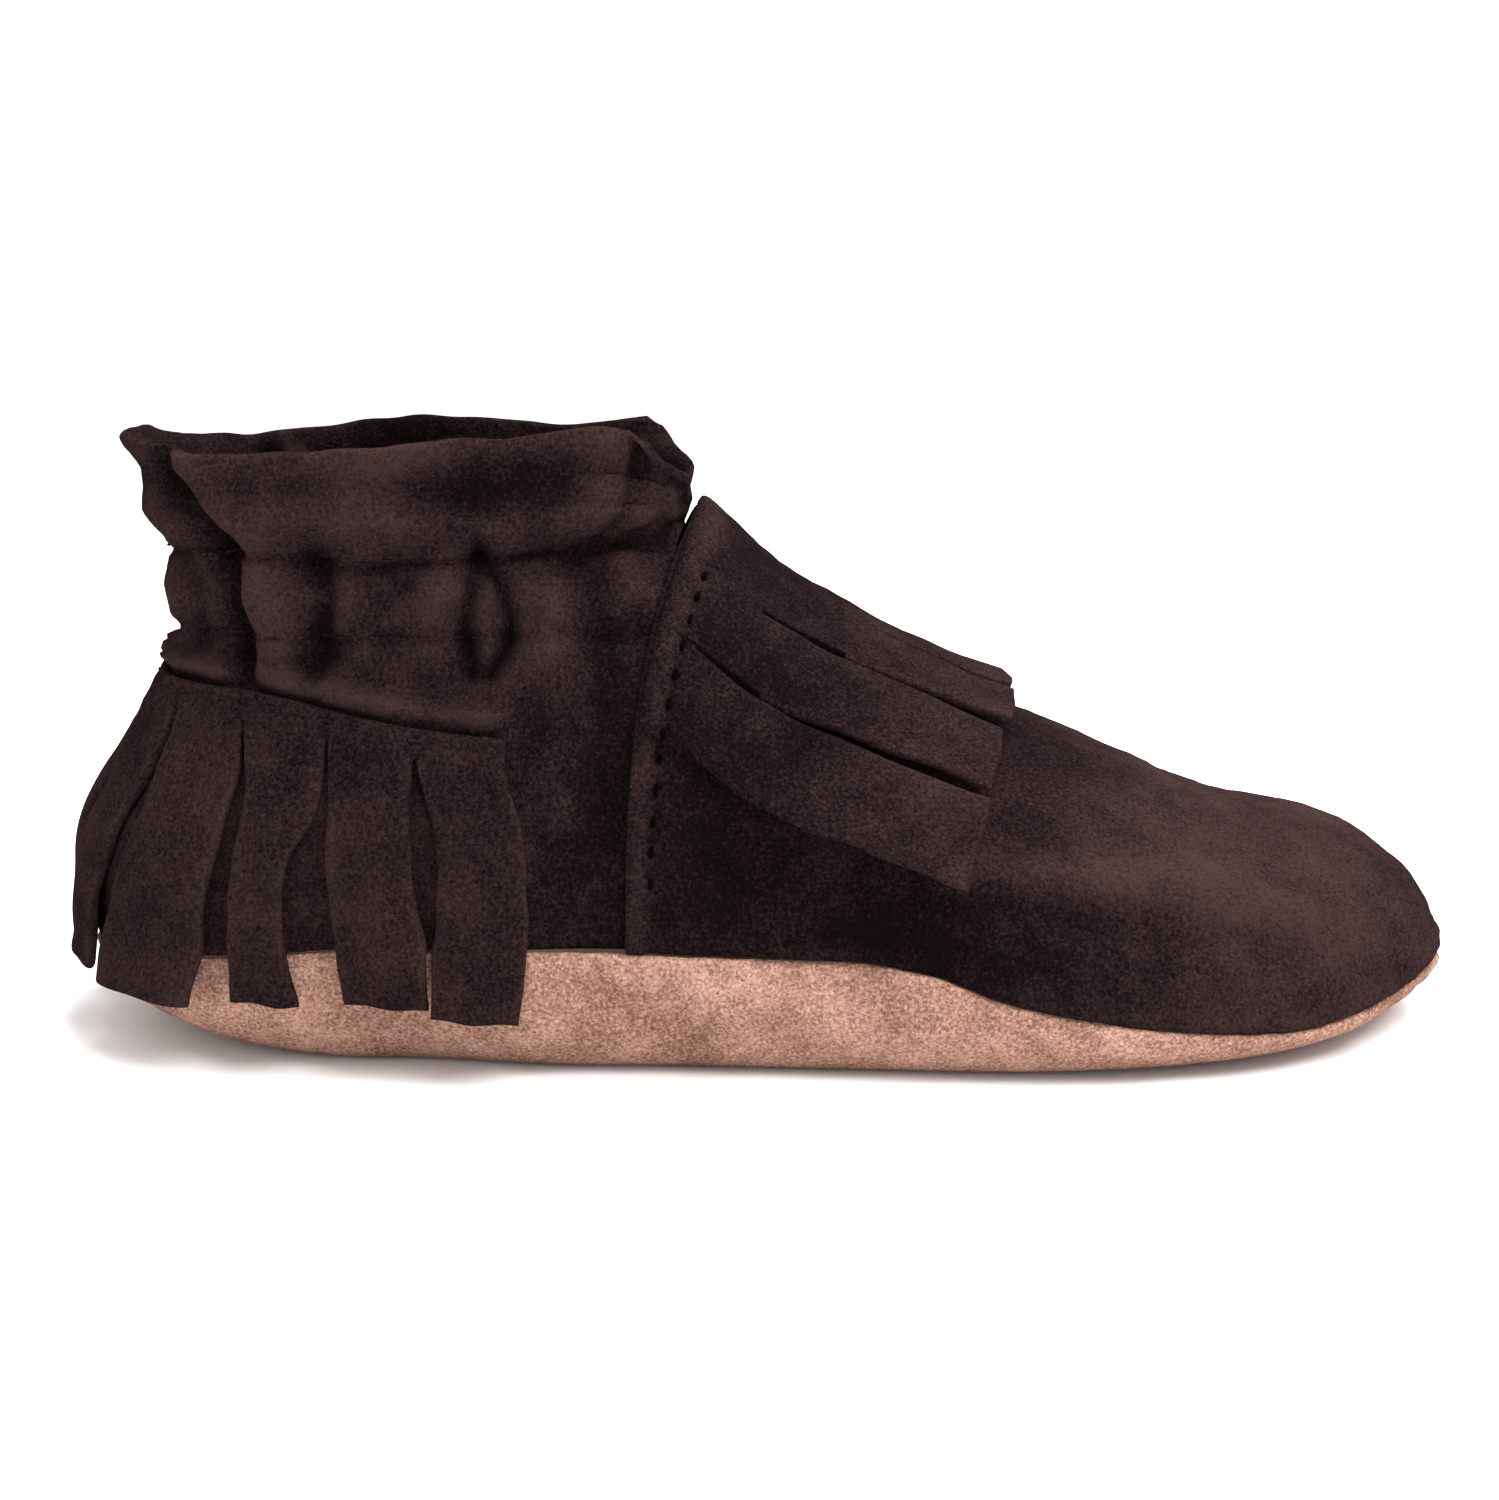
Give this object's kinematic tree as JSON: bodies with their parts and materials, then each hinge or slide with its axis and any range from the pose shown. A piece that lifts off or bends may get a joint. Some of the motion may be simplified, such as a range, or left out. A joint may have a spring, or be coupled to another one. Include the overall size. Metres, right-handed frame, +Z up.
{
  "type": "moccasin",
  "caption": "Soft-sole baby moccasin with a turned-up suede sole, a fringed instep flap, heel fringe, elastic-gathered ankle and loose cuff.",
  "frame": {"origin": "on the floor, on the sole's flat underside, about midway along the shoe and on its middle line", "axes": "+X to the toe, +Y to the shoe's left, +Z up"},
  "size_m": [0.1279, 0.0556, 0.0544],
  "materials": {
    "brown_suede": "napped suede, dark brown, matte",
    "tan_suede": "rough suede, pale tan, matte",
    "lining": "brushed cotton, beige",
    "foam": "soft open-cell foam sheet, off-white",
    "elastic": "woven elastic, black",
    "thread": "waxed sewing thread, dark brown"
  },
  "bodies": {
    "shoe": {"outsole": "tan_suede", "insole_foam": "foam", "insole_lining": "lining", "vamp": "brown_suede", "quarter": "brown_suede", "ankle_elastic": "elastic", "elastic_casing": "brown_suede", "casing_thread_upper": "thread", "casing_thread_lower": "thread", "vamp_fringe_band": "brown_suede", "heel_fringe_band": "brown_suede", "vamp_seam_thread_right": "thread", "vamp_seam_thread_left": "thread", "heel_fringe_thread": "thread", "sole_seam_thread": "thread"},
    "vamp_fringe_strip_1": {"vamp_fringe_strip_1": "brown_suede"},
    "vamp_fringe_strip_2": {"vamp_fringe_strip_2": "brown_suede"},
    "vamp_fringe_strip_3": {"vamp_fringe_strip_3": "brown_suede"},
    "vamp_fringe_strip_4": {"vamp_fringe_strip_4": "brown_suede"},
    "vamp_fringe_strip_5": {"vamp_fringe_strip_5": "brown_suede"},
    "vamp_fringe_strip_6": {"vamp_fringe_strip_6": "brown_suede"},
    "vamp_fringe_strip_7": {"vamp_fringe_strip_7": "brown_suede"},
    "heel_fringe_strip_1": {"heel_fringe_strip_1": "brown_suede"},
    "heel_fringe_strip_2": {"heel_fringe_strip_2": "brown_suede"},
    "heel_fringe_strip_3": {"heel_fringe_strip_3": "brown_suede"},
    "heel_fringe_strip_4": {"heel_fringe_strip_4": "brown_suede"},
    "heel_fringe_strip_5": {"heel_fringe_strip_5": "brown_suede"},
    "heel_fringe_strip_6": {"heel_fringe_strip_6": "brown_suede"},
    "heel_fringe_strip_7": {"heel_fringe_strip_7": "brown_suede"},
    "heel_fringe_strip_8": {"heel_fringe_strip_8": "brown_suede"},
    "heel_fringe_strip_9": {"heel_fringe_strip_9": "brown_suede"},
    "heel_fringe_strip_10": {"heel_fringe_strip_10": "brown_suede"},
    "heel_fringe_strip_11": {"heel_fringe_strip_11": "brown_suede"},
    "heel_fringe_strip_12": {"heel_fringe_strip_12": "brown_suede"}
  },
  "joints": [
    {"name": "vamp_fringe_strip_1_fold", "type": "hinge", "parent": "shoe", "child": "vamp_fringe_strip_1", "pos_m": [-0.00507, -0.02255, 0.03228], "axis": [-0.0131, -0.4486, -0.8936], "range_deg": [0, 80], "stiffness_Nm_per_rad": 0.0001},
    {"name": "vamp_fringe_strip_2_fold", "type": "hinge", "parent": "shoe", "child": "vamp_fringe_strip_2", "pos_m": [0.00052, -0.01756, 0.0359], "axis": [-0.0143, -0.731, -0.6822], "range_deg": [0, 80], "stiffness_Nm_per_rad": 0.0001},
    {"name": "vamp_fringe_strip_3_fold", "type": "hinge", "parent": "shoe", "child": "vamp_fringe_strip_3", "pos_m": [0.00789, -0.00942, 0.0366], "axis": [-0.0062, -0.9532, -0.3022], "range_deg": [0, 80], "stiffness_Nm_per_rad": 0.0001},
    {"name": "vamp_fringe_strip_4_fold", "type": "hinge", "parent": "shoe", "child": "vamp_fringe_strip_4", "pos_m": [0.00795, 0, 0.03797], "axis": [0, -1, 0], "range_deg": [0, 80], "stiffness_Nm_per_rad": 0.0001},
    {"name": "vamp_fringe_strip_5_fold", "type": "hinge", "parent": "shoe", "child": "vamp_fringe_strip_5", "pos_m": [0.00789, 0.00942, 0.0366], "axis": [0.0062, -0.9532, 0.3022], "range_deg": [0, 80], "stiffness_Nm_per_rad": 0.0001},
    {"name": "vamp_fringe_strip_6_fold", "type": "hinge", "parent": "shoe", "child": "vamp_fringe_strip_6", "pos_m": [0.00052, 0.01756, 0.0359], "axis": [0.0143, -0.731, 0.6822], "range_deg": [0, 80], "stiffness_Nm_per_rad": 0.0001},
    {"name": "vamp_fringe_strip_7_fold", "type": "hinge", "parent": "shoe", "child": "vamp_fringe_strip_7", "pos_m": [-0.00507, 0.02255, 0.03228], "axis": [0.0131, -0.4486, 0.8936], "range_deg": [0, 80], "stiffness_Nm_per_rad": 0.0001},
    {"name": "heel_fringe_strip_1_fold", "type": "hinge", "parent": "shoe", "child": "heel_fringe_strip_1", "pos_m": [-0.02461, -0.02301, 0.02758], "axis": [-0.9945, 0.1043, 0], "range_deg": [0, 90], "stiffness_Nm_per_rad": 0.0001},
    {"name": "heel_fringe_strip_2_fold", "type": "hinge", "parent": "shoe", "child": "heel_fringe_strip_2", "pos_m": [-0.03217, -0.02211, 0.0291], "axis": [-0.9894, 0.1451, 0], "range_deg": [0, 90], "stiffness_Nm_per_rad": 0.0001},
    {"name": "heel_fringe_strip_3_fold", "type": "hinge", "parent": "shoe", "child": "heel_fringe_strip_3", "pos_m": [-0.03968, -0.02079, 0.0304], "axis": [-0.9671, 0.2543, 0], "range_deg": [0, 90], "stiffness_Nm_per_rad": 0.0001},
    {"name": "heel_fringe_strip_4_fold", "type": "hinge", "parent": "shoe", "child": "heel_fringe_strip_4", "pos_m": [-0.04698, -0.01752, 0.03061], "axis": [-0.8225, 0.5688, 0], "range_deg": [0, 90], "stiffness_Nm_per_rad": 0.0001},
    {"name": "heel_fringe_strip_5_fold", "type": "hinge", "parent": "shoe", "child": "heel_fringe_strip_5", "pos_m": [-0.0524, -0.01158, 0.03071], "axis": [-0.4885, 0.8726, 0], "range_deg": [0, 90], "stiffness_Nm_per_rad": 0.0001},
    {"name": "heel_fringe_strip_6_fold", "type": "hinge", "parent": "shoe", "child": "heel_fringe_strip_6", "pos_m": [-0.05479, -0.00395, 0.03074], "axis": [-0.1178, 0.993, 0], "range_deg": [0, 90], "stiffness_Nm_per_rad": 0.0001},
    {"name": "heel_fringe_strip_7_fold", "type": "hinge", "parent": "shoe", "child": "heel_fringe_strip_7", "pos_m": [-0.05479, 0.00395, 0.03074], "axis": [0.1178, 0.993, 0], "range_deg": [0, 90], "stiffness_Nm_per_rad": 0.0001},
    {"name": "heel_fringe_strip_8_fold", "type": "hinge", "parent": "shoe", "child": "heel_fringe_strip_8", "pos_m": [-0.0524, 0.01158, 0.03071], "axis": [0.4885, 0.8726, 0], "range_deg": [0, 90], "stiffness_Nm_per_rad": 0.0001},
    {"name": "heel_fringe_strip_9_fold", "type": "hinge", "parent": "shoe", "child": "heel_fringe_strip_9", "pos_m": [-0.04698, 0.01752, 0.03061], "axis": [0.8225, 0.5688, 0], "range_deg": [0, 90], "stiffness_Nm_per_rad": 0.0001},
    {"name": "heel_fringe_strip_10_fold", "type": "hinge", "parent": "shoe", "child": "heel_fringe_strip_10", "pos_m": [-0.03968, 0.02079, 0.0304], "axis": [0.9671, 0.2543, 0], "range_deg": [0, 90], "stiffness_Nm_per_rad": 0.0001},
    {"name": "heel_fringe_strip_11_fold", "type": "hinge", "parent": "shoe", "child": "heel_fringe_strip_11", "pos_m": [-0.03217, 0.02211, 0.0291], "axis": [0.9894, 0.1451, 0], "range_deg": [0, 90], "stiffness_Nm_per_rad": 0.0001},
    {"name": "heel_fringe_strip_12_fold", "type": "hinge", "parent": "shoe", "child": "heel_fringe_strip_12", "pos_m": [-0.02461, 0.02301, 0.02758], "axis": [0.9945, 0.1043, 0], "range_deg": [0, 90], "stiffness_Nm_per_rad": 0.0001}
  ]
}
